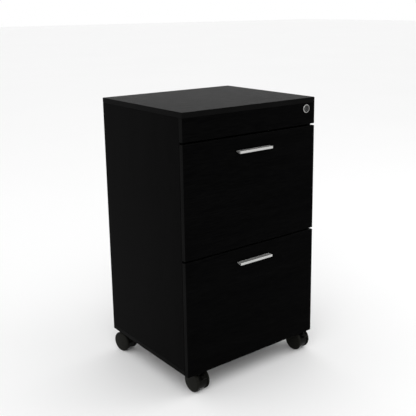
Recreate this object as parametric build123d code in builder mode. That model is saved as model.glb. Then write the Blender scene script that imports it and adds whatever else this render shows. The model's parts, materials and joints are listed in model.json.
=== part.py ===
"""Rolling pedestal cabinet: two file drawers in a laminated board carcass on four twin-wheel casters.

Frame: the origin is on the floor under the middle of the cabinet, +X is to the right seen from the
front, the drawers open towards -Y, and +Z is up. All lengths are in millimetres.
"""
import os
from math import cos, radians, sin

from build123d import *

os.makedirs("parts", exist_ok=True)

# Cabinet body
body_width = 385.0
body_depth = 332.0
body_height = 600.0
board = 12.0
edge_round = 0.8
front_gap = 1.0

# Front faces, as heights above the body's underside
lock_rail_low = 536.6
upper_front_span = (275.6, 532.0)
lower_front_span = (0.0, 271.0)

# Drawer boxes and telescopic slides
slide_gap = 12.7
box_board = 11.0
box_floor_lift = 17.0
box_top_drop = 36.0
box_rear_clearance = 12.0
bottom_sheet = 4.0
groove = 5.0
slide_length = 255.0
slide_setback = 30.0
slide_height = 45.0
slide_rise = 92.0
sheet_steel = 1.2
member_gap = 1.2
file_rail_thickness = 2.0
file_rail_height = 14.0
sheet_lift = 8.0
fitting_margin = 35.0
box_screw_length = 32.0
fixed_lip = 9.5
middle_lip = 8.0
drawer_lip = 6.5
drawer_member_inset = 4.0

# Handles
handle_length = 95.5
handle_reach = 13.0
handle_height = 5.75
handle_flange = 2.6
handle_lip = 3.2
handle_boss = 8.0
handle_screw_pitch = 76.0
handle_screw_radius = 1.6
handle_corner_round = 1.6
handle_edge_round = 0.7
upper_handle_low = 495.9
lower_handle_low = 235.9

# Lock
lock_x = 163.8
lock_height = 574.5
lock_bezel_radius = 10.0
lock_bezel_proud = 2.4
lock_barrel_radius = 8.5
lock_plug_radius = 6.5
lock_barrel_length = 25.0
running_clearance = 0.05
bezel_round = 1.0
plug_proud = 0.2
plug_chamfer = 0.4
keyway_width = 1.5
keyway_height = 8.0
keyway_depth = 5.0
keyway_slant = 12.0
nut_radius = 12.0
nut_thickness = 4.0
barrel_tail = 2.0
cam_width = 10.0
cam_thickness = 2.5
cam_radius = 9.0
cam_pin_radius = 2.0
cam_pin_length = 8.0
cam_start_angle = 45.0
bar_travel = 12.73
bar_thickness = 3.0
bar_width = 10.0
bar_setback = 3.5
bar_recess = 3.4
bar_play = 0.3
bar_tail = 20.0
bar_top_margin = 1.5
pin_play = 0.45
lug_reach = 3.5
lug_height = 2.5
lug_thickness = 3.0
lug_setback = 1.0
stop_depth = 8.5
stop_height = 7.0
stop_width = 6.0
stop_play = 1.0
catch_gap = 1.0
catch_drop = 22.0
catch_reach = 6.5
catch_thickness = 5.0
catch_height = 9.0

# Casters: swivel axes inset from the nearest side and end, and each axle's turn in degrees
front_left_inset = (41.9, 42.1)
front_right_inset = (21.7, 44.4)
back_inset = (24.0, 43.2)
front_left_turn = 3.3
front_right_turn = 4.9
back_left_turn = 12.6
back_right_turn = 5.0
floor_gap = 53.0
wheel_radius = 24.9
caster_width = 39.3
hood_width = 23.4
wheel_hood_gap = 0.8
axle_radius = 3.0
axle_clearance = 0.05
trail = 17.0
plate_side = 38.0
plate_thickness = 2.0
kingpin_radius = 4.0
kingpin_length = 14.0
plate_hole_offset = 14.0
plate_screw_radius = 1.7
plate_screw_length = 11.0
plate_screw_head_radius = 3.2
plate_screw_head_height = 1.2
hood_top = 50.4
hood_radius = 22.4
socket_radius = 10.0
socket_depth = 26.0
axle_half_length = 17.6
socket_corner = 3.0
bridge_height = 8.0
plate_corner = 4.0
axle_end_gap = 0.3
wheel_corner = 4.0
dome_rise = 1.4
hub_flat_radius = 4.0
lever_hinge_x = 12.0
lever_hinge_z = 38.0
lever_hinge_radius = 3.2
lever_tip_x = 29.0
lever_tip_z = 40.0
lever_tip_thickness = 2.4
lever_tip_slope = 1.0
lever_width = 11.0
lever_slot_play = 0.5
lever_slot_x = 20.0
lever_slot_z = 42.0
lever_slot_length = 24.0
lever_slot_height = 18.0

# Fasteners
screw_radius = 2.5
confirmat_length = 50.0
back_screw_x = 90.0
fitting_inset = 92.0
screw_head_radius = 4.0
screw_head_height = 3.0
cam_fitting_radius = 6.0
cam_fitting_depth = 9.0
box_cam_depth = 9.0
bolt_radius = 2.5
bolt_reach = 24.0
bolt_bite = 8.0
rail_bolt_reach = 38.0
rail_bolt_lift = 12.0

# Places that follow from the sizes above
half_width = body_width / 2
inner_half = half_width - board
front_y = (handle_reach - body_depth) / 2
back_y = front_y + body_depth
carcass_y = front_y + board + front_gap
base_z = floor_gap
top_z = base_z + body_height
bottom_top_z = base_z + board
top_under_z = top_z - board
side_middle = half_width - board / 2
box_half = inner_half - slide_gap
box_inner_half = box_half - box_board
box_front_y = front_y + board
box_back_y = back_y - board - box_rear_clearance
fitting_rows = (carcass_y + fitting_inset, back_y - fitting_inset)
lock_z = base_z + lock_height
cam_y = front_y + lock_barrel_length + barrel_tail
bar_low_y = cam_y + bar_setback
bar_high_y = bar_low_y + bar_width
bar_x = inner_half + bar_recess - bar_play
bar_face_x = bar_x - bar_thickness
catch_y = bar_low_y + stop_width + catch_gap
right, forward, up = (1, 0, 0), (0, -1, 0), (0, 0, 1)
backward, down = (0, 1, 0), (0, 0, -1)


def block(low, high, mode=Mode.ADD):
    """A box between two opposite corners, in the sub-part being built."""
    with Locations(tuple((a + b) / 2 for a, b in zip(low, high))):
        Box(*(b - a for a, b in zip(low, high)), mode=mode)


def rod(start, direction, radius, length, mode=Mode.ADD):
    """A round rod from a start point along a direction, in the sub-part being built."""
    with Locations(Plane(origin=start, z_dir=direction)):
        Cylinder(radius, length, align=(Align.CENTER, Align.CENTER, Align.MIN), mode=mode)


def save(piece, name):
    """Labels a finished piece and writes it to its own file."""
    piece.part.label = name
    export_step(piece.part, f"parts/{name}.step")


# ---------------------------------------------------------------- carcass fittings

def top_fitting(side, y, mode=Mode.ADD):
    """An eccentric fitting in a side panel with its bolt standing up into the top panel."""
    centre_z = top_under_z - bolt_reach
    rod((side * inner_half, y, centre_z), (side, 0, 0), cam_fitting_radius, cam_fitting_depth, mode)
    rod((side * side_middle, y, centre_z), up, bolt_radius, bolt_reach + bolt_bite, mode)


def rail_fitting(side, mode=Mode.ADD):
    """An eccentric fitting in a side panel with its bolt reaching forward into the lock rail."""
    centre_y = carcass_y + rail_bolt_reach
    centre_z = base_z + lock_rail_low + rail_bolt_lift
    rod((side * inner_half, centre_y, centre_z), (side, 0, 0), cam_fitting_radius, cam_fitting_depth, mode)
    rod((side * side_middle, centre_y, centre_z), forward, bolt_radius, rail_bolt_reach + bolt_bite, mode)


def bottom_screw(side, y, mode=Mode.ADD):
    """A confirmat screw up through the bottom panel into a side panel."""
    rod((side * side_middle, y, base_z), up, screw_head_radius, screw_head_height, mode)
    rod((side * side_middle, y, base_z), up, screw_radius, confirmat_length, mode)


def back_screw(side, mode=Mode.ADD):
    """A confirmat screw up through the bottom panel into the back panel."""
    rod((side * back_screw_x, back_y - board / 2, base_z), up, screw_radius, confirmat_length, mode)


# ---------------------------------------------------------------- caster places

def caster_place(inset, side, end, axle_turn):
    """The plane of a caster at floor level: its origin on the swivel axis, its x along the trail."""
    pivot_x = side * (half_width - inset[0])
    pivot_y = front_y + inset[1] if end < 0 else back_y - inset[1]
    turn = radians(axle_turn)
    trail_direction = (-end * sin(turn), end * cos(turn), 0)
    return Plane(origin=(pivot_x, pivot_y, 0), x_dir=trail_direction, z_dir=up)


casters = {
    "front_left": caster_place(front_left_inset, -1, -1, front_left_turn),
    "front_right": caster_place(front_right_inset, 1, -1, front_right_turn),
    "back_left": caster_place(back_inset, -1, 1, back_left_turn),
    "back_right": caster_place(back_inset, 1, 1, back_right_turn),
}


def caster_screw(plane, ix, iy, mode=Mode.ADD):
    """A countersunk screw up through a caster plate into the bottom panel."""
    x, y = plane.origin.X + ix * plate_hole_offset, plane.origin.Y + iy * plate_hole_offset
    rod((x, y, base_z - plate_thickness), up, plate_screw_head_radius, plate_screw_head_height, mode)
    rod((x, y, base_z - plate_thickness), up, plate_screw_radius, plate_screw_length, mode)


# ---------------------------------------------------------------- carcass panels

with BuildPart() as top_panel:
    block((-half_width, front_y, top_under_z), (half_width, back_y, top_z))
    fillet(top_panel.edges(), edge_round)
    for side in (-1, 1):
        for y in fitting_rows:
            top_fitting(side, y, Mode.SUBTRACT)
save(top_panel, "top_panel")

with BuildPart() as bottom_panel:
    block((-half_width, carcass_y, base_z), (half_width, back_y, bottom_top_z))
    fillet(bottom_panel.edges(), edge_round)
    for side in (-1, 1):
        for y in fitting_rows:
            bottom_screw(side, y, Mode.SUBTRACT)
        back_screw(side, Mode.SUBTRACT)
    for plane in casters.values():
        for ix in (-1, 1):
            for iy in (-1, 1):
                caster_screw(plane, ix, iy, Mode.SUBTRACT)
save(bottom_panel, "bottom_panel")

for side, name in ((-1, "left_side_panel"), (1, "right_side_panel")):
    outer, inner = sorted((side * half_width, side * inner_half))
    with BuildPart() as side_panel:
        block((outer, carcass_y, bottom_top_z), (inner, back_y, top_under_z))
        fillet(side_panel.edges(), edge_round)
        for y in fitting_rows:
            top_fitting(side, y, Mode.SUBTRACT)
            bottom_screw(side, y, Mode.SUBTRACT)
        rail_fitting(side, Mode.SUBTRACT)
        if side > 0:
            # The lock bar slides up and down in this groove, below the face of the panel.
            block(
                (inner_half, bar_low_y - bar_play, bottom_top_z),
                (inner_half + bar_recess, bar_high_y + bar_play, top_under_z),
                Mode.SUBTRACT,
            )
    save(side_panel, name)

with BuildPart() as back_panel:
    block((-inner_half, back_y - board, bottom_top_z), (inner_half, back_y, top_under_z))
    for side in (-1, 1):
        back_screw(side, Mode.SUBTRACT)
save(back_panel, "back_panel")

with BuildPart() as lock_rail:
    block((-half_width, front_y, base_z + lock_rail_low), (half_width, carcass_y, top_under_z))
    fillet(lock_rail.edges(), edge_round)
    rod((lock_x, front_y, lock_z), backward, lock_barrel_radius, board + front_gap, Mode.SUBTRACT)
    for side in (-1, 1):
        rail_fitting(side, Mode.SUBTRACT)
save(lock_rail, "lock_rail")

with BuildPart() as carcass_fittings:
    for side in (-1, 1):
        for y in fitting_rows:
            top_fitting(side, y)
            bottom_screw(side, y)
        rail_fitting(side)
        back_screw(side)
save(carcass_fittings, "carcass_fittings")


# ---------------------------------------------------------------- drawers

def front_fitting(side, z, mode=Mode.ADD):
    """An eccentric fitting inside a drawer side with its bolt reaching into the drawer front."""
    centre = (side * (box_half - box_board / 2), box_front_y + bolt_reach, z)
    rod((side * box_inner_half, centre[1], z), (side, 0, 0), cam_fitting_radius, box_cam_depth, mode)
    rod(centre, forward, bolt_radius, bolt_reach + bolt_bite, mode)


def box_screw(side, z, mode=Mode.ADD):
    """A screw through a drawer side into the end of the drawer back."""
    start = (side * box_half, box_back_y - box_board / 2, z)
    rod(start, (-side, 0, 0), screw_head_radius, screw_head_height, mode)
    rod(start, (-side, 0, 0), screw_radius, box_screw_length, mode)


def handle_screw(side, z, mode=Mode.ADD):
    """A pan-head screw from inside the drawer front into a handle boss."""
    start = (side * handle_screw_pitch / 2, box_front_y, z)
    rod(start, backward, screw_head_radius, screw_head_height, mode)
    rod(start, forward, handle_screw_radius, board + handle_boss, mode)


def slide_member(side, wall_x, reach, half_height, low_y, high_y, z):
    """A channel section: a web at wall_x with its two lips turned by reach, running along Y."""
    inward = sheet_steel if reach > 0 else -sheet_steel
    web = sorted((wall_x, wall_x + side * inward))
    lips = sorted((wall_x, wall_x + side * reach))
    block((web[0], low_y, z - half_height), (web[1], high_y, z + half_height))
    block((lips[0], low_y, z + half_height - sheet_steel), (lips[1], high_y, z + half_height))
    block((lips[0], low_y, z - half_height), (lips[1], high_y, z - half_height + sheet_steel))


def catch_low(span):
    """The underside of a drawer's lock catch."""
    return base_z + span[1] - box_top_drop - catch_drop


drawers = (
    ("upper", upper_front_span, upper_handle_low),
    ("lower", lower_front_span, lower_handle_low),
)

for drawer, span, handle_low in drawers:
    front_low_z = base_z + span[0]
    front_high_z = base_z + span[1]
    box_low_z = front_low_z + box_floor_lift
    box_high_z = front_high_z - box_top_drop
    sheet_low_z = box_low_z + sheet_lift
    handle_z = base_z + handle_low
    handle_screw_z = handle_z + handle_height / 2
    fitting_heights = (box_low_z + fitting_margin, box_high_z - fitting_margin)
    slide_z = box_low_z + slide_rise

    with BuildPart() as drawer_front:
        block((-half_width, front_y, front_low_z), (half_width, box_front_y, front_high_z))
        fillet(drawer_front.edges(), edge_round)
        for side in (-1, 1):
            handle_screw(side, handle_screw_z, Mode.SUBTRACT)
            for z in fitting_heights:
                front_fitting(side, z, Mode.SUBTRACT)
    save(drawer_front, f"{drawer}_drawer_front")

    for side, hand in ((-1, "left"), (1, "right")):
        low_x, high_x = sorted((side * box_half, side * box_inner_half))
        with BuildPart() as drawer_side:
            block((low_x, box_front_y, box_low_z), (high_x, box_back_y, box_high_z))
            groove_x = sorted((side * box_inner_half, side * (box_inner_half + groove)))
            block(
                (groove_x[0], box_front_y, sheet_low_z),
                (groove_x[1], box_back_y, sheet_low_z + bottom_sheet),
                Mode.SUBTRACT,
            )
            for z in fitting_heights:
                front_fitting(side, z, Mode.SUBTRACT)
                box_screw(side, z, Mode.SUBTRACT)
        save(drawer_side, f"{drawer}_drawer_{hand}_side")

    with BuildPart() as drawer_back:
        block(
            (-box_inner_half, box_back_y - box_board, sheet_low_z + bottom_sheet),
            (box_inner_half, box_back_y, box_high_z),
        )
        for side in (-1, 1):
            for z in fitting_heights:
                box_screw(side, z, Mode.SUBTRACT)
    save(drawer_back, f"{drawer}_drawer_back")

    with BuildPart() as drawer_bottom:
        block(
            (-box_inner_half - groove, box_front_y, sheet_low_z),
            (box_inner_half + groove, box_back_y, sheet_low_z + bottom_sheet),
        )
    save(drawer_bottom, f"{drawer}_drawer_bottom")

    with BuildPart() as drawer_fittings:
        for side in (-1, 1):
            for z in fitting_heights:
                front_fitting(side, z)
                box_screw(side, z)
    save(drawer_fittings, f"{drawer}_drawer_fittings")

    # Folder rails stand on the box sides and carry hanging files.
    with BuildPart() as file_rails:
        for side in (-1, 1):
            rail_x = side * (box_half - box_board / 2)
            block(
                (rail_x - file_rail_thickness / 2, box_front_y, box_high_z),
                (rail_x + file_rail_thickness / 2, box_back_y, box_high_z + file_rail_height),
            )
    save(file_rails, f"{drawer}_file_rails")

    # Lip pull: a top flange with a deeper front lip, end cheeks and two screw bosses.
    with BuildPart() as handle:
        reach_y = front_y - handle_reach
        lip_y = reach_y + handle_lip
        handle_top = handle_z + handle_height
        with BuildSketch(Plane.YZ.offset(-handle_length / 2)) as handle_profile:
            with BuildLine():
                Polyline(
                    (front_y, handle_top),
                    (reach_y, handle_top),
                    (reach_y, handle_z),
                    (lip_y, handle_z),
                    (lip_y, handle_top - handle_flange),
                    (front_y, handle_top - handle_flange),
                    close=True,
                )
            make_face()
        extrude(amount=handle_length)
        for side in (-1, 1):
            boss_x = side * handle_screw_pitch / 2
            cheek_x = sorted((side * handle_length / 2, side * (handle_length / 2 - handle_lip)))
            block(
                (boss_x - handle_boss / 2, lip_y, handle_z),
                (boss_x + handle_boss / 2, front_y, handle_top - handle_flange),
            )
            with BuildSketch(Plane.YZ.offset(cheek_x[0])) as cheek_profile:
                with BuildLine():
                    Polyline(
                        (front_y, handle_top - handle_flange),
                        (lip_y, handle_z),
                        (lip_y, handle_top - handle_flange),
                        close=True,
                    )
                make_face()
            extrude(amount=handle_lip)
        outer_corners = handle.edges().filter_by(Axis.Z).group_by(Axis.Y)[0]
        fillet(outer_corners, handle_corner_round)
        fillet(handle.faces().sort_by(Axis.Z)[-1].edges().group_by(Axis.Y)[0], handle_edge_round)
        for side in (-1, 1):
            handle_screw(side, handle_screw_z, Mode.SUBTRACT)
    save(handle, f"{drawer}_handle")

    with BuildPart() as handle_screws:
        for side in (-1, 1):
            handle_screw(side, handle_screw_z)
    save(handle_screws, f"{drawer}_handle_screws")

    # Three nested channels on each side: fixed, middle and drawer members.
    slide_low_y = carcass_y + slide_setback
    slide_high_y = slide_low_y + slide_length
    fixed_half = slide_height / 2
    middle_half = fixed_half - sheet_steel - member_gap
    drawer_half = middle_half - sheet_steel - member_gap - drawer_member_inset
    for member, start, reach, half_height in (
        ("fixed", 0.0, -fixed_lip, fixed_half),
        ("middle", sheet_steel + member_gap, -middle_lip, middle_half),
        ("drawer", slide_gap, drawer_lip, drawer_half),
    ):
        with BuildPart() as slide_pair:
            for side in (-1, 1):
                wall_x = side * (inner_half - start)
                slide_member(side, wall_x, reach, half_height, slide_low_y, slide_high_y, slide_z)
        save(slide_pair, f"{drawer}_{member}_slides")

    # The catch on the box's right side meets the lock bar's stop when the bar is down.
    with BuildPart() as catch:
        catch_z = catch_low(span)
        block(
            (box_half, catch_y, catch_z),
            (box_half + catch_reach, catch_y + catch_thickness, catch_z + catch_height),
        )
    save(catch, f"{drawer}_lock_catch")


# ---------------------------------------------------------------- lock

pin_angle = radians(cam_start_angle)
pin_x = lock_x + cam_radius * cos(pin_angle)
pin_z = lock_z + cam_radius * sin(pin_angle)

with BuildPart() as lock_housing:
    rod((lock_x, front_y - lock_bezel_proud, lock_z), backward, lock_bezel_radius, lock_bezel_proud)
    fillet(lock_housing.faces().sort_by(Axis.Y)[0].edges(), bezel_round)
    rod((lock_x, front_y, lock_z), backward, lock_barrel_radius, lock_barrel_length)
    rod(
        (lock_x, front_y - lock_bezel_proud, lock_z),
        backward,
        lock_plug_radius + running_clearance,
        lock_barrel_length + lock_bezel_proud,
        Mode.SUBTRACT,
    )
save(lock_housing, "lock_housing")

with BuildPart() as lock_nut:
    with BuildSketch(Plane(origin=(lock_x, carcass_y, lock_z), z_dir=backward)):
        RegularPolygon(nut_radius, 6)
        Circle(lock_barrel_radius, mode=Mode.SUBTRACT)
    extrude(amount=nut_thickness)
save(lock_nut, "lock_nut")

with BuildPart() as lock_plug:
    plug_front = front_y - lock_bezel_proud - plug_proud
    rod((lock_x, plug_front, lock_z), backward, lock_plug_radius, cam_y - plug_front)
    chamfer(lock_plug.faces().sort_by(Axis.Y)[0].edges(), plug_chamfer)
    with Locations(Location((lock_x, plug_front + keyway_depth / 2, lock_z), (0, keyway_slant, 0))):
        Box(keyway_width, keyway_depth, keyway_height, mode=Mode.SUBTRACT)
save(lock_plug, "lock_plug")

with BuildPart() as lock_cam:
    with BuildSketch(Plane(origin=(lock_x, cam_y, lock_z), x_dir=right, z_dir=forward)):
        cam_middle = (cam_radius / 2 * cos(pin_angle), cam_radius / 2 * sin(pin_angle))
        with Locations(Location(cam_middle, cam_start_angle)):
            SlotCenterToCenter(cam_radius, cam_width)
    extrude(amount=-cam_thickness)
    rod((pin_x, cam_y, pin_z), backward, cam_pin_radius, cam_pin_length)
save(lock_cam, "lock_cam")

with BuildPart() as lock_bar:
    bar_low_z = catch_low(lower_front_span) - bar_tail + bar_travel
    block((bar_face_x, bar_low_y, bar_low_z), (bar_x, bar_high_y, top_under_z - bar_top_margin))
save(lock_bar, "lock_bar")

# Blocks welded to the bar: two lugs with the cam's pin between them, and a stop for each drawer.
with BuildPart() as lock_bar_lugs:
    lug_x = pin_x - cam_pin_radius - lug_reach
    lug_low_y = bar_low_y + lug_setback
    for lug_z in (pin_z - cam_pin_radius - pin_play - lug_height, pin_z + cam_pin_radius + pin_play):
        block((lug_x, lug_low_y, lug_z), (bar_face_x, lug_low_y + lug_thickness, lug_z + lug_height))
    for span in (upper_front_span, lower_front_span):
        stop_z = catch_low(span) + stop_play + bar_travel
        block(
            (bar_face_x - stop_depth, bar_low_y, stop_z),
            (bar_face_x, bar_low_y + stop_width, stop_z + stop_height),
        )
save(lock_bar_lugs, "lock_bar_lugs")


# ---------------------------------------------------------------- casters

def axle_plane(plane):
    """The upright plane through a caster's middle: origin on the axle, x along the trail, y up."""
    centre = plane.from_local_coords((trail, 0, wheel_radius))
    return Plane(origin=centre, x_dir=plane.x_dir, z_dir=-plane.y_dir)


def wheel_section(plane, side):
    """The plane of a wheel's half section: x along the axle outwards, y up."""
    centre = plane.from_local_coords((trail, 0, wheel_radius))
    return Plane(origin=centre, x_dir=plane.y_dir * side, z_dir=plane.x_dir * side)


with BuildPart() as caster_plates:
    for plane in casters.values():
        x, y, half = plane.origin.X, plane.origin.Y, plate_side / 2
        block((x - half, y - half, base_z - plate_thickness), (x + half, y + half, base_z))
        for ix in (-1, 1):
            for iy in (-1, 1):
                caster_screw(plane, ix, iy, Mode.SUBTRACT)
    fillet(caster_plates.edges().filter_by(Axis.Z).filter_by(GeomType.LINE), plate_corner)
save(caster_plates, "caster_plates")

with BuildPart() as caster_kingpins:
    for plane in casters.values():
        pin_top = (plane.origin.X, plane.origin.Y, base_z - plate_thickness)
        rod(pin_top, down, kingpin_radius, kingpin_length)
save(caster_kingpins, "caster_kingpins")

with BuildPart() as caster_screws:
    for plane in casters.values():
        for ix in (-1, 1):
            for iy in (-1, 1):
                caster_screw(plane, ix, iy)
save(caster_screws, "caster_screws")

for place, plane in casters.items():
    braked = place.startswith("front")
    upright = axle_plane(plane)

    # The hood fills the middle between the wheels and carries the swivel socket ahead of the axle.
    with BuildPart() as hood:
        with BuildSketch(upright):
            Circle(hood_radius)
            with Locations((-trail, hood_top - wheel_radius - socket_depth / 2)):
                RectangleRounded(2 * socket_radius, socket_depth, socket_corner)
            with Locations((-trail / 2, hood_top - wheel_radius - bridge_height / 2)):
                Rectangle(trail + socket_radius, bridge_height)
        extrude(amount=hood_width / 2, both=True)
        rod(
            plane.from_local_coords((0, 0, hood_top)),
            down,
            kingpin_radius + running_clearance,
            kingpin_length,
            Mode.SUBTRACT,
        )
        rod(
            plane.from_local_coords((trail, -hood_width / 2, wheel_radius)),
            plane.y_dir,
            axle_radius,
            hood_width,
            Mode.SUBTRACT,
        )
        if braked:
            with BuildSketch(upright):
                with Locations((lever_slot_x, lever_slot_z - wheel_radius)):
                    Rectangle(lever_slot_length, lever_slot_height)
            extrude(amount=lever_width / 2 + lever_slot_play, both=True, mode=Mode.SUBTRACT)
    save(hood, f"{place}_caster_hood")

    with BuildPart() as axle:
        rod(
            plane.from_local_coords((trail, -axle_half_length, wheel_radius)),
            plane.y_dir,
            axle_radius,
            2 * axle_half_length,
        )
    save(axle, f"{place}_caster_axle")

    for side, hand in ((1, "a"), (-1, "b")):
        inner_x = hood_width / 2 + wheel_hood_gap
        outer_x = caster_width / 2
        corner_x = outer_x - wheel_corner
        corner_mid_x = corner_x + (wheel_corner - dome_rise) * cos(radians(45))
        corner_mid_radius = wheel_radius - wheel_corner * (1 - sin(radians(45)))
        bore = axle_radius + axle_clearance
        bore_end = axle_half_length + axle_end_gap
        section = wheel_section(plane, side)
        with BuildPart() as wheel:
            with BuildSketch(section):
                with BuildLine():
                    Polyline(
                        (bore_end, 0),
                        (bore_end, bore),
                        (inner_x, bore),
                        (inner_x, wheel_radius),
                        (corner_x, wheel_radius),
                    )
                    ThreePointArc(
                        (corner_x, wheel_radius),
                        (corner_mid_x, corner_mid_radius),
                        (outer_x - dome_rise, wheel_radius - wheel_corner),
                    )
                    ThreePointArc(
                        (outer_x - dome_rise, wheel_radius - wheel_corner),
                        (outer_x - dome_rise / 4, wheel_radius / 2),
                        (outer_x, hub_flat_radius),
                    )
                    Polyline((outer_x, hub_flat_radius), (outer_x, 0), (bore_end, 0))
                make_face()
            revolve(axis=Axis(section.origin, section.x_dir))
        save(wheel, f"{place}_wheel_{hand}")

    # A foot lever between the wheels presses the brake when its tip is pushed down.
    if braked:
        with BuildPart() as lever:
            with BuildSketch(upright):
                with Locations((lever_hinge_x, lever_hinge_z - wheel_radius)):
                    Circle(lever_hinge_radius)
                with BuildLine():
                    Polyline(
                        (lever_hinge_x, lever_hinge_z - wheel_radius),
                        (lever_tip_x, lever_tip_z - wheel_radius - lever_tip_thickness),
                        (lever_tip_x + lever_tip_slope, lever_tip_z - wheel_radius),
                        (lever_hinge_x, lever_hinge_z - wheel_radius + lever_hinge_radius),
                        close=True,
                    )
                make_face()
            extrude(amount=lever_width / 2, both=True)
        save(lever, f"{place}_brake_lever")
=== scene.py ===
import json
import math

import bmesh
import bpy
from mathutils import Matrix, Vector


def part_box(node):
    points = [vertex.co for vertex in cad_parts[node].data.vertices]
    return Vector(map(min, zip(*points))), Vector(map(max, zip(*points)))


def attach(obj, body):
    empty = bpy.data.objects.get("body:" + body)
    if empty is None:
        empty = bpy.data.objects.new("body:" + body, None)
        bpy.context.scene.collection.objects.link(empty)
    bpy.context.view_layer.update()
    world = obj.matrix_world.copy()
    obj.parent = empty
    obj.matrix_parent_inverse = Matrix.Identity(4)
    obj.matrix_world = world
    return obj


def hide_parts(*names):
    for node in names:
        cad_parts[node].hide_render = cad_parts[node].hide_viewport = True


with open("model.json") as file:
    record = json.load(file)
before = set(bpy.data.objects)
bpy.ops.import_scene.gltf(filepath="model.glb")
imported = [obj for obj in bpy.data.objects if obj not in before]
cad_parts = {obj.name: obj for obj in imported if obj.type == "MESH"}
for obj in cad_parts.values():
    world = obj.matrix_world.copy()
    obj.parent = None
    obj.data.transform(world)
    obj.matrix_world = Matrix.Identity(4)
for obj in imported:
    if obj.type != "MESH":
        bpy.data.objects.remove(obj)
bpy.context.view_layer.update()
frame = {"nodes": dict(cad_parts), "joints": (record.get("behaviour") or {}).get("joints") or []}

# ---------------------------------------------------------------- sizes, in metres
BOARD_ROUND = 0.0009        # radius of a laminated board's edges

# Handles: an angle section with a deeper front lip.
FLANGE = 0.0026
LIP = 0.0032
LIP_FOOT_ROUND = 0.0011
LIP_TOP_ROUND = 0.0013
BOSS = 0.008                # width of a screw boss
BOSS_SPACING = 0.038        # from the handle's middle to a boss

# Lock.
PLUG_BORE = 0.00655
BARREL_RADIUS = 0.0085
BEZEL_PROUD = 0.0024
BEZEL_ROLL = 0.0012
BEZEL_LIP = 0.0020          # width of the bezel's rolled ring
THROAT_DEPTH = 0.0026
PLUG_ROUND = 0.0008
KEYWAY_HALF = (0.0012, 0.0046)
KEYWAY_DEPTH = 0.006
KEYWAY_SLANT = math.radians(12)

# Casters.
WHEEL_RADIUS = 0.0249
WHEEL_INNER = 0.0125        # a wheel's faces, from the caster's middle plane
WHEEL_OUTER = 0.01965
SHOULDER = 0.0034           # rounding between a wheel's tread and its face
DOME = 0.0012               # how far a wheel's face bulges
HOOD_HALF = 0.0117
HOOD_RADIUS = 0.0224
HOOD_TOP = 0.0504           # height of the hood above the floor
SOCKET_RADIUS = 0.0100
SOCKET_DEPTH = 0.026
SOCKET_CORNER = 0.003
AXLE_RADIUS = 0.003
AXLE_HALF = 0.0176
BRAKE_SLOT = (0.026, 0.012, 0.018)      # forward, across, up
BRAKE_SLOT_AHEAD = 0.023    # middle of the slot, from the axle
BRAKE_SLOT_ABOVE = 0.017
LEVER_HINGE_AHEAD = 0.029   # brake lever's hinge, from the swivel axis
LEVER_HINGE_HEIGHT = 0.038
LEVER_BOSS = 0.0032
LEVER_HALF = 0.0055
RIB_START = 0.0155
RIB_PITCH = 0.0030

# Camera: where it stands and how it is turned.
FOCAL_MM = 61.05
SENSOR_MM = 36.0
SHIFT = (-0.0570, -0.0915)
CAMERA_AT = (-1.0091, -1.3412, 0.8669)
CAMERA_HEADING = math.radians(38.70)
CAMERA_PITCH = math.radians(13.15)
CAMERA_ROLL = math.radians(-0.479)

X, Y, Z = Vector((1, 0, 0)), Vector((0, 1, 0)), Vector((0, 0, 1))
joints = {j["name"]: j for j in frame["joints"]}


# ---------------------------------------------------------------- material helpers

class Shader:
    """A node material under construction: a Principled shader and short ways to feed it."""

    def __init__(self, name, **constants):
        self.material = bpy.data.materials.new(name)
        self.material.use_nodes = True
        self.nodes = self.material.node_tree.nodes
        self.links = self.material.node_tree.links
        self.surface = self.nodes["Principled BSDF"]
        for socket, value in constants.items():
            self.surface.inputs[socket.replace("_", " ")].default_value = value
        self.place = self.nodes.new("ShaderNodeTexCoord").outputs["Object"]

    def stretched(self, scale, turn=(0, 0, 0)):
        """Object coordinates, turned and then scaled along each axis."""
        mapping = self.nodes.new("ShaderNodeMapping")
        mapping.inputs["Rotation"].default_value = turn
        mapping.inputs["Scale"].default_value = scale
        self.links.new(self.place, mapping.inputs["Vector"])
        return mapping.outputs["Vector"]

    def noise(self, scale, detail=3.0, roughness=0.55, space=None, distortion=0.0):
        """A cloudy factor over object space, or over a space that is handed in."""
        node = self.nodes.new("ShaderNodeTexNoise")
        node.inputs["Scale"].default_value = scale
        node.inputs["Detail"].default_value = detail
        node.inputs["Roughness"].default_value = roughness
        node.inputs["Distortion"].default_value = distortion
        self.links.new(space or self.place, node.inputs["Vector"])
        return node.outputs["Fac"]

    def ramp(self, factor, low, high, low_value, high_value):
        """Remaps a factor between two limits onto two values."""
        node = self.nodes.new("ShaderNodeMapRange")
        node.inputs["From Min"].default_value = low
        node.inputs["From Max"].default_value = high
        node.inputs["To Min"].default_value = low_value
        node.inputs["To Max"].default_value = high_value
        self.links.new(factor, node.inputs["Value"])
        return node.outputs["Result"]

    def blend(self, factor, first, second):
        """A colour between two colours."""
        node = self.nodes.new("ShaderNodeMix")
        node.data_type = "RGBA"
        node.inputs[6].default_value = (*first, 1)
        node.inputs[7].default_value = (*second, 1)
        self.links.new(factor, node.inputs[0])
        return node.outputs[2]

    def mean(self, first, second):
        """The mean of two factors."""
        node = self.nodes.new("ShaderNodeMix")
        node.inputs["Factor"].default_value = 0.5
        self.links.new(first, node.inputs["A"])
        self.links.new(second, node.inputs["B"])
        return node.outputs["Result"]

    def feed(self, socket, value):
        """Drives one input of the shader."""
        self.links.new(value, self.surface.inputs[socket])

    def bump(self, height, strength, distance, below=None):
        """A normal pressed by a height factor, on top of another one if given."""
        node = self.nodes.new("ShaderNodeBump")
        node.inputs["Strength"].default_value = strength
        node.inputs["Distance"].default_value = distance
        self.links.new(height, node.inputs["Height"])
        if below is not None:
            self.links.new(below, node.inputs["Normal"])
        return node.outputs["Normal"]


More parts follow.
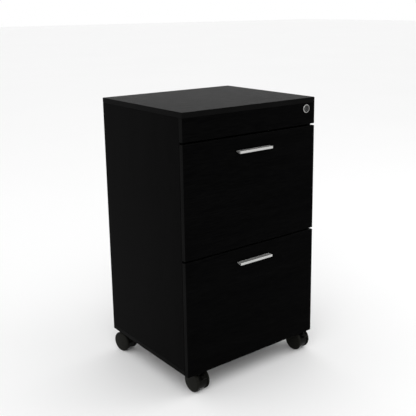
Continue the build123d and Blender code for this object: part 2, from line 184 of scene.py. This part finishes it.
def laminate(name, along, dark, light, gloss, relief):
    """Black melamine with a pressed wood grain that runs along one axis."""
    shader = Shader(name, IOR=1.5, Specular_IOR_Level=gloss)
    fine = shader.noise(1.0, 4.0, 0.6, shader.stretched(grain(along, 26.0, 620.0)), 0.3)
    broad = shader.noise(1.0, 3.0, 0.5, shader.stretched(grain(along, 2.2, 38.0)), 0.6)
    pores = shader.noise(1.0, 2.0, 0.5, shader.stretched(grain(along, 170.0, 1500.0)))
    streaks = shader.mean(shader.ramp(broad, 0.1, 0.9, 0, 1), shader.ramp(fine, 0.38, 0.62, 0, 1))
    shader.feed("Base Color", shader.blend(streaks, dark, light))
    shader.feed("Roughness", shader.ramp(fine, 0.3, 0.7, 0.28, 0.44))
    pressed = shader.bump(fine, relief, 0.0003)
    shader.feed("Normal", shader.bump(pores, relief, 0.0002, pressed))
    return shader.material


def grain(along, long_scale, across_scale):
    """Texture scales that stretch a pattern along one axis."""
    return [long_scale if axis == along else across_scale for axis in range(3)]


def edge_band(name, base, gloss):
    """Plastic edge strip: smoother than the laminate, with a faint orange-peel."""
    shader = Shader(name, IOR=1.5, Specular_IOR_Level=gloss)
    peel = shader.noise(900.0, 2.0)
    tone = shader.noise(14.0, 2.0)
    shade = shader.blend(shader.ramp(tone, 0.3, 0.7, 0, 1), base, [c * 1.35 for c in base])
    shader.feed("Base Color", shade)
    shader.feed("Roughness", shader.ramp(peel, 0.3, 0.7, 0.34, 0.44))
    shader.feed("Normal", shader.bump(peel, 0.06, 0.0001))
    return shader.material


def metal(name, base, roughness, along, brushed, metallic=1.0):
    """Metal with fine brush lines along one axis."""
    shader = Shader(name, Metallic=metallic)
    lines = shader.noise(1.0, 3.0, 0.6, shader.stretched(grain(along, 30.0, 1400.0)))
    cloud = shader.noise(60.0, 3.0)
    tone = shader.ramp(cloud, 0.3, 0.7, 0, 1)
    shader.feed("Base Color", shader.blend(tone, [c * 0.93 for c in base], base))
    shader.feed("Roughness", shader.ramp(lines, 0.3, 0.7, roughness - 0.05, roughness + 0.06))
    shader.feed("Normal", shader.bump(lines, brushed, 0.0001))
    return shader.material


def nylon(name, base, gloss, roughness):
    """Moulded nylon: fine eroded texture and a slight mottling."""
    shader = Shader(name, IOR=1.5, Specular_IOR_Level=gloss)
    texture = shader.noise(2600.0, 2.0)
    cloud = shader.noise(90.0, 3.0)
    shade = shader.blend(shader.ramp(cloud, 0.3, 0.7, 0, 1), base, [c * 1.3 for c in base])
    shader.feed("Base Color", shade)
    shader.feed("Roughness", shader.ramp(cloud, 0.3, 0.7, roughness - 0.04, roughness + 0.05))
    shader.feed("Normal", shader.bump(texture, 0.10, 0.0001))
    return shader.material


def board_core(name):
    """Smooth painted fibreboard for the drawer bottoms."""
    shader = Shader(name, IOR=1.5, Specular_IOR_Level=0.3)
    fibre = shader.noise(700.0, 4.0)
    tone = shader.ramp(fibre, 0.3, 0.7, 0, 1)
    shader.feed("Base Color", shader.blend(tone, (0.02, 0.018, 0.016), (0.032, 0.03, 0.027)))
    shader.feed("Roughness", shader.ramp(fibre, 0.3, 0.7, 0.5, 0.65))
    shader.feed("Normal", shader.bump(fibre, 0.15, 0.0002))
    return shader.material


# Drawer fronts and lock rail: the same black melamine as the sides, toned darker to paint in shade (painted
# shade).
FRONT_PAINTED_SHADE = laminate("laminate_front_painted_shade", 0, (0.0004, 0.0004, 0.0005), (0.0026, 0.0026, 0.0026), 0.005, 0.14)
SIDE = laminate("laminate_side", 2, (0.0009, 0.0009, 0.0009), (0.0026, 0.0025, 0.0026), 0.007, 0.15)
# Top panel: the same black melamine as the sides, toned lighter to paint in the reflection its upward face
# catches (painted reflection).
TOP_PAINTED_REFLECTION = laminate("laminate_top_painted_reflection", 0, (0.0012, 0.0012, 0.0012), (0.0060, 0.0060, 0.0058), 0.006, 0.60)
INSIDE = laminate("laminate_inside", 1, (0.0020, 0.0020, 0.0020), (0.0040, 0.0040, 0.0040), 0.030, 0.12)
BAND = edge_band("edge_band", (0.0030, 0.0030, 0.0030), 0.010)
SHEET = board_core("drawer_sheet")
SATIN = metal("satin_handle", (0.52, 0.52, 0.51), 0.42, 0, 0.10, 0.7)
CHROME = metal("polished_lock", (0.36, 0.36, 0.35), 0.16, 1, 0.03)
PLUG = metal("lock_plug_metal", (0.05, 0.05, 0.05), 0.24, 0, 0.05)
STEEL = metal("plated_steel", (0.46, 0.46, 0.45), 0.32, 1, 0.06)
WHEEL = nylon("wheel_nylon", (0.0060, 0.0060, 0.0048), 0.05, 0.38)
HOOD = nylon("hood_nylon", (0.0030, 0.0030, 0.0026), 0.04, 0.36)


# ---------------------------------------------------------------- mesh helpers

def finish_piece(name, shape, body, materials, node, sharp=35.0):
    """Turns a bmesh into a piece that rides on a body and stands for a CAD node."""
    bmesh.ops.recalc_face_normals(shape, faces=shape.faces)
    mesh = bpy.data.meshes.new(name)
    shape.to_mesh(mesh)
    shape.free()
    piece = bpy.data.objects.new(name, mesh)
    bpy.context.scene.collection.objects.link(piece)
    for material in materials:
        mesh.materials.append(material)
    mesh.shade_smooth()
    mesh.set_sharp_from_angle(angle=math.radians(sharp))
    normals = piece.modifiers.new("normals", "WEIGHTED_NORMAL")
    normals.keep_sharp = True
    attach(piece, body)
    if node:
        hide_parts(node)
    return piece


def bevel_all(shape, width, segments=3, angle=20.0):
    """Rounds every edge that turns by more than an angle."""
    edges = [e for e in shape.edges if e.is_manifold and e.calc_face_angle(0) > math.radians(angle)]
    bmesh.ops.bevel(shape, geom=edges, offset=width, segments=segments, profile=0.5, affect="EDGES")


def box_shape(low, high):
    """A box between two opposite corners."""
    shape = bmesh.new()
    bmesh.ops.create_cube(shape, size=1.0)
    size = [b - a for a, b in zip(low, high)]
    middle = [(a + b) / 2 for a, b in zip(low, high)]
    bmesh.ops.scale(shape, vec=size, verts=shape.verts)
    bmesh.ops.translate(shape, vec=middle, verts=shape.verts)
    return shape


def prism(outline, origin, along, upward, normal, half):
    """A closed solid: an outline in the (along, upward) plane, pushed out both ways along a normal."""
    shape = bmesh.new()
    rings = []
    for reach in (-half, half):
        rings.append([shape.verts.new(origin + along * u + upward * v + normal * reach) for u, v in outline])
    shape.faces.new(rings[0])
    shape.faces.new(list(reversed(rings[1])))
    count = len(outline)
    for i in range(count):
        j = (i + 1) % count
        shape.faces.new((rings[0][i], rings[1][i], rings[1][j], rings[0][j]))
    return shape


def lathe(profile, origin, axis, segments=96):
    """A solid of revolution: (offset along the axis, radius) points, closed at radius 0."""
    across = axis.orthogonal().normalized()
    other = axis.cross(across)
    shape = bmesh.new()
    rings = []
    for offset, radius in profile:
        middle = origin + axis * offset
        if radius == 0:
            rings.append([shape.verts.new(middle)])
            continue
        ring = []
        for k in range(segments):
            turn = 2 * math.pi * k / segments
            spoke = across * math.cos(turn) + other * math.sin(turn)
            ring.append(shape.verts.new(middle + spoke * radius))
        rings.append(ring)
    for low, high in zip(rings, rings[1:]):
        for k in range(segments):
            n = (k + 1) % segments
            corners = [low[k % len(low)], low[n % len(low)], high[n % len(high)], high[k % len(high)]]
            unique = list(dict.fromkeys(corners))
            if len(unique) > 2:
                shape.faces.new(unique)
    return shape


def arc(centre, radius, start, end, steps):
    """Points on an arc, angles in degrees."""
    angles = [math.radians(start + (end - start) * i / steps) for i in range(steps + 1)]
    return [(centre[0] + radius * math.cos(a), centre[1] + radius * math.sin(a)) for a in angles]


def carve(piece, shape):
    """Cuts a closed bmesh out of a finished piece."""
    mesh = bpy.data.meshes.new("cutter")
    shape.to_mesh(mesh)
    shape.free()
    cutter = bpy.data.objects.new("cutter", mesh)
    bpy.context.scene.collection.objects.link(cutter)
    cut = piece.modifiers.new("cut", "BOOLEAN")
    cut.operation, cut.object, cut.solver = "DIFFERENCE", cutter, "EXACT"
    bpy.context.view_layer.update()
    graph = bpy.context.evaluated_depsgraph_get()
    carved = bpy.data.meshes.new_from_object(piece.evaluated_get(graph))
    piece.modifiers.clear()
    piece.data = carved
    carved.set_sharp_from_angle(angle=math.radians(35))
    bpy.data.objects.remove(cutter)


# ---------------------------------------------------------------- boards

def board(node, body, face):
    """A laminated board: broad faces in grained laminate, narrow edges in edge band."""
    low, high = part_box(node)
    shape = box_shape(low, high)
    bevel_all(shape, BOARD_ROUND, 3)
    thin = min(range(3), key=lambda axis: high[axis] - low[axis])
    shape.normal_update()
    for polygon in shape.faces:
        polygon.material_index = 0 if abs(polygon.normal[thin]) > 0.95 else 1
    return finish_piece(f"{node}_board", shape, body, [face, BAND], node)


board("top_panel", "cabinet", TOP_PAINTED_REFLECTION)
board("bottom_panel", "cabinet", SIDE)
board("left_side_panel", "cabinet", SIDE)
board("right_side_panel", "cabinet", SIDE)
board("back_panel", "cabinet", SIDE)
board("lock_rail", "cabinet", FRONT_PAINTED_SHADE)
for drawer in ("upper", "lower"):
    board(f"{drawer}_drawer_front", f"{drawer}_drawer", FRONT_PAINTED_SHADE)


# ---------------------------------------------------------------- handles

def handle(drawer):
    """Lip pull in satin metal: a flange with a deeper front lip, end cheeks and screw bosses."""
    low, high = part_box(f"{drawer}_handle")
    lip_back = low.y + LIP
    flange_low = high.z - FLANGE
    half = (high.x - low.x) / 2
    outline = [(high.y, high.z), (high.y, flange_low), (lip_back, flange_low), (lip_back, low.z)]
    foot = (low.y + LIP_FOOT_ROUND, low.z + LIP_FOOT_ROUND)
    crest = (low.y + LIP_TOP_ROUND, high.z - LIP_TOP_ROUND)
    outline += arc(foot, LIP_FOOT_ROUND, 270, 180, 4)
    outline += arc(crest, LIP_TOP_ROUND, 180, 90, 5)
    middle = Vector(((low.x + high.x) / 2, 0, 0))
    shape = prism(outline, middle, Y, Z, X, half)
    bevel_all(shape, 0.0004, 2, 50.0)
    body = f"{drawer}_drawer"
    finish_piece(f"{drawer}_handle_bar", shape, body, [SATIN], f"{drawer}_handle")
    cheek = [(high.y, flange_low), (lip_back, low.z), (lip_back, flange_low)]
    for side, hand in ((-1, "left"), (1, "right")):
        at = middle + X * side * (half - LIP / 2)
        end = prism(cheek, at, Y, Z, X, LIP / 2 - 0.0004)
        finish_piece(f"{drawer}_handle_cheek_{hand}", end, body, [SATIN], None)
        pad_x = middle.x + side * BOSS_SPACING
        pad = box_shape((pad_x - BOSS / 2, lip_back, low.z), (pad_x + BOSS / 2, high.y, flange_low))
        bevel_all(pad, 0.0006, 2)
        finish_piece(f"{drawer}_handle_boss_{hand}", pad, body, [SATIN], None)


for drawer in ("upper", "lower"):
    handle(drawer)


# ---------------------------------------------------------------- lock

def lock():
    """Round cam lock: a rolled bezel with a sunk throat, a darker plug and its slanted keyway."""
    low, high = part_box("lock_housing")
    middle = Vector(((low.x + high.x) / 2, 0, (low.z + high.z) / 2))
    rim = (high.x - low.x) / 2
    face = low.y
    wall = face + BEZEL_PROUD
    profile = [(high.y, PLUG_BORE), (high.y, BARREL_RADIUS), (wall, BARREL_RADIUS), (wall, rim)]
    roll = arc((0, 0), BEZEL_ROLL, 90, 0, 6)
    profile += [(face + BEZEL_ROLL - d, rim - BEZEL_ROLL + r) for d, r in roll]
    profile += [(face, rim - BEZEL_LIP), (face + THROAT_DEPTH - 0.0004, PLUG_BORE + 0.0004)]
    profile += [(face + THROAT_DEPTH, PLUG_BORE), (high.y, PLUG_BORE)]
    shape = lathe(profile, middle, Y)
    bmesh.ops.remove_doubles(shape, verts=shape.verts, dist=1e-6)
    finish_piece("lock_bezel", shape, "cabinet", [CHROME], "lock_housing", 40.0)

    plug_low, plug_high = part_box("lock_plug")
    radius = (plug_high.x - plug_low.x) / 2
    front = plug_low.y
    profile = [(plug_high.y, 0), (plug_high.y, radius)]
    roll = arc((0, 0), PLUG_ROUND, 90, 0, 4)
    profile += [(front + PLUG_ROUND - d, radius - PLUG_ROUND + r) for d, r in roll]
    plug = lathe(profile + [(front, 0)], middle, Y, 64)
    piece = finish_piece("lock_plug_face", plug, "lock_plug", [PLUG], "lock_plug", 40.0)
    wide, tall = KEYWAY_HALF
    keyway = box_shape((-wide, -0.001, -tall), (wide, KEYWAY_DEPTH, tall))
    slant = Matrix.Rotation(KEYWAY_SLANT, 3, "Y")
    bmesh.ops.rotate(keyway, cent=(0, 0, 0), matrix=slant, verts=keyway.verts)
    bmesh.ops.translate(keyway, vec=middle + Y * front, verts=keyway.verts)
    carve(piece, keyway)


lock()


# ---------------------------------------------------------------- casters

def caster(place):
    """One twin-wheel caster, built from its own swivel and spin joints."""
    pivot = Vector(joints[f"{place}_swivel"]["pos_m"])
    spin = joints[f"{place}_wheel_a_spin"]
    hub = Vector(spin["pos_m"])
    axle = Vector(spin["axis"]).normalized()
    forward = Vector((hub.x - pivot.x, hub.y - pivot.y, 0))
    trail = forward.length
    forward.normalize()
    body = f"{place}_caster"

    # Hood: a disc-shaped middle with the swivel socket ahead of the axle.
    top = HOOD_TOP - hub.z
    corner = -trail - SOCKET_RADIUS + SOCKET_CORNER
    outline = arc((0, 0), HOOD_RADIUS, -150, 62, 44)
    outline += [(0.0050, top)]
    outline += arc((corner, top - SOCKET_CORNER), SOCKET_CORNER, 90, 180, 5)
    outline += arc((corner, top - SOCKET_DEPTH + SOCKET_CORNER), SOCKET_CORNER, 180, 270, 5)
    hood = prism(outline, hub, forward, Z, axle, HOOD_HALF)
    bevel_all(hood, 0.0011, 3, 40.0)
    piece = finish_piece(f"{place}_hood", hood, body, [HOOD], f"{place}_caster_hood")
    if place.startswith("front"):
        half = [side / 2 for side in BRAKE_SLOT]
        slot_box = box_shape([-side for side in half], half)
        turn = Matrix((forward, axle, Z)).transposed()
        bmesh.ops.rotate(slot_box, cent=(0, 0, 0), matrix=turn, verts=slot_box.verts)
        at = hub + forward * BRAKE_SLOT_AHEAD + Z * BRAKE_SLOT_ABOVE
        bmesh.ops.translate(slot_box, vec=at, verts=slot_box.verts)
        carve(piece, slot_box)
        lever(place, pivot, forward, axle)

    for hand, side in (("a", 1), ("b", -1)):
        wheel(f"{place}_wheel_{hand}", hub, axle * side)

    section = [(-AXLE_HALF, 0), (-AXLE_HALF, AXLE_RADIUS), (AXLE_HALF, AXLE_RADIUS), (AXLE_HALF, 0)]
    pin = lathe(section, hub, axle, 32)
    finish_piece(f"{place}_axle_pin", pin, body, [STEEL], f"{place}_caster_axle")


def wheel(node, hub, outward):
    """A narrow wheel: flat tread, rounded shoulder and a gently domed face."""
    tread = [(WHEEL_INNER, 0), (WHEEL_INNER, 0.0190), (WHEEL_INNER, WHEEL_RADIUS - 0.0008)]
    tread += [(WHEEL_INNER + 0.0006, WHEEL_RADIUS)]
    start = WHEEL_OUTER - DOME - SHOULDER
    face_radius = WHEEL_RADIUS - SHOULDER
    tread += [(start + r, face_radius + h) for h, r in arc((0, 0), SHOULDER, 0, 78, 8)]
    face = []
    for step in range(1, 13):
        radius = face_radius * (1 - step / 12)
        rise = DOME * (1 - (radius / face_radius) ** 2)
        face.append((WHEEL_OUTER - DOME + rise, radius))
    shape = lathe(tread + face, hub, outward)
    finish_piece(f"{node}_disc", shape, node, [WHEEL], node, 50.0)


def lever(place, pivot, forward, axle):
    """Foot lever of the brake: a ribbed pad on a hinge boss between the wheels."""
    hinge = pivot + forward * LEVER_HINGE_AHEAD
    hinge.z = LEVER_HINGE_HEIGHT
    outline = arc((0, 0), LEVER_BOSS, 90, 250, 8)
    outline += [(0.0165, -0.0006), (0.0180, 0.0012), (0.0176, 0.0026)]
    for rib in range(3):
        at = RIB_START - rib * RIB_PITCH
        outline += [(at, 0.0028), (at - 0.0006, 0.0034), (at - 0.0014, 0.0034), (at - 0.0020, 0.0029)]
    shape = prism(outline, hinge, forward, Z, axle, LEVER_HALF)
    bevel_all(shape, 0.0003, 1, 60.0)
    body = f"{place}_brake"
    finish_piece(f"{place}_brake_pad", shape, body, [HOOD], f"{place}_brake_lever")


for place in ("front_left", "front_right", "back_left", "back_right"):
    caster(place)


# ---------------------------------------------------------------- carried-over nodes

def paint(material, *names):
    """Gives carried-over CAD nodes a detailed material."""
    for name in names:
        node = frame["nodes"][name]
        node.data.materials.clear()
        node.data.materials.append(material)


paint(STEEL, "lock_nut", "lock_cam", "lock_bar", "lock_bar_lugs", "carcass_fittings")
paint(STEEL, "caster_plates", "caster_kingpins", "caster_screws")
for drawer in ("upper", "lower"):
    steel_parts = ("fixed_slides", "middle_slides", "drawer_slides", "file_rails", "lock_catch")
    paint(STEEL, *(f"{drawer}_{part}" for part in steel_parts))
    paint(STEEL, f"{drawer}_handle_screws", f"{drawer}_drawer_fittings")
    paint(INSIDE, f"{drawer}_drawer_left_side", f"{drawer}_drawer_right_side", f"{drawer}_drawer_back")
    paint(SHEET, f"{drawer}_drawer_bottom")


# ---------------------------------------------------------------- stage, lights, camera

def stage():
    """A wide pale floor under an even white world."""
    floor_mesh = bpy.data.meshes.new("floor")
    reach = 30.0
    corners = [(-reach, -reach, 0), (reach, -reach, 0), (reach, reach, 0), (-reach, reach, 0)]
    floor_mesh.from_pydata(corners, [], [(0, 1, 2, 3)])
    floor = bpy.data.objects.new("floor", floor_mesh)
    bpy.context.scene.collection.objects.link(floor)
    pale = Shader("pale_floor", Roughness=0.9, Specular_IOR_Level=0.1)
    tone = pale.noise(0.8, 2.0)
    pale.feed("Base Color", pale.blend(tone, (0.92, 0.92, 0.92), (0.94, 0.94, 0.94)))
    floor_mesh.materials.append(pale.material)

    world = bpy.data.worlds.new("studio")
    bpy.context.scene.world = world
    world.use_nodes = True
    background = world.node_tree.nodes["Background"]
    background.inputs["Color"].default_value = (1, 1, 1, 1)
    background.inputs["Strength"].default_value = 1.0


def softbox(name, at, towards, size, power):
    """A rectangular area light aimed at a point."""
    light = bpy.data.lights.new(name, "AREA")
    light.shape = "RECTANGLE"
    light.size, light.size_y = size
    light.energy = power
    lamp = bpy.data.objects.new(name, light)
    lamp.location = at
    lamp.rotation_mode = "QUATERNION"
    lamp.rotation_quaternion = (Vector(towards) - Vector(at)).to_track_quat("-Z", "Y")
    bpy.context.scene.collection.objects.link(lamp)


def camera():
    """The camera, placed by its position, heading, pitch and roll."""
    data = bpy.data.cameras.new("camera")
    data.lens = FOCAL_MM
    data.sensor_width = SENSOR_MM
    data.shift_x, data.shift_y = SHIFT
    data.clip_start, data.clip_end = 0.05, 100.0
    data.dof.use_dof = False
    view = bpy.data.objects.new("camera", data)
    heading = Matrix.Rotation(-CAMERA_HEADING, 4, "Z")
    pitch = Matrix.Rotation(math.radians(90) - CAMERA_PITCH, 4, "X")
    roll = Matrix.Rotation(CAMERA_ROLL, 4, "Z")
    view.matrix_world = Matrix.Translation(CAMERA_AT) @ heading @ pitch @ roll
    bpy.context.scene.collection.objects.link(view)
    bpy.context.scene.camera = view


stage()
softbox("key", (-1.6, -1.8, 2.6), (0, 0, 0.4), (1.6, 1.6), 18)
softbox("fill", (2.2, -1.2, 1.8), (0, 0, 0.3), (1.4, 1.4), 8)
camera()
bpy.context.scene.view_settings.view_transform = "Standard"
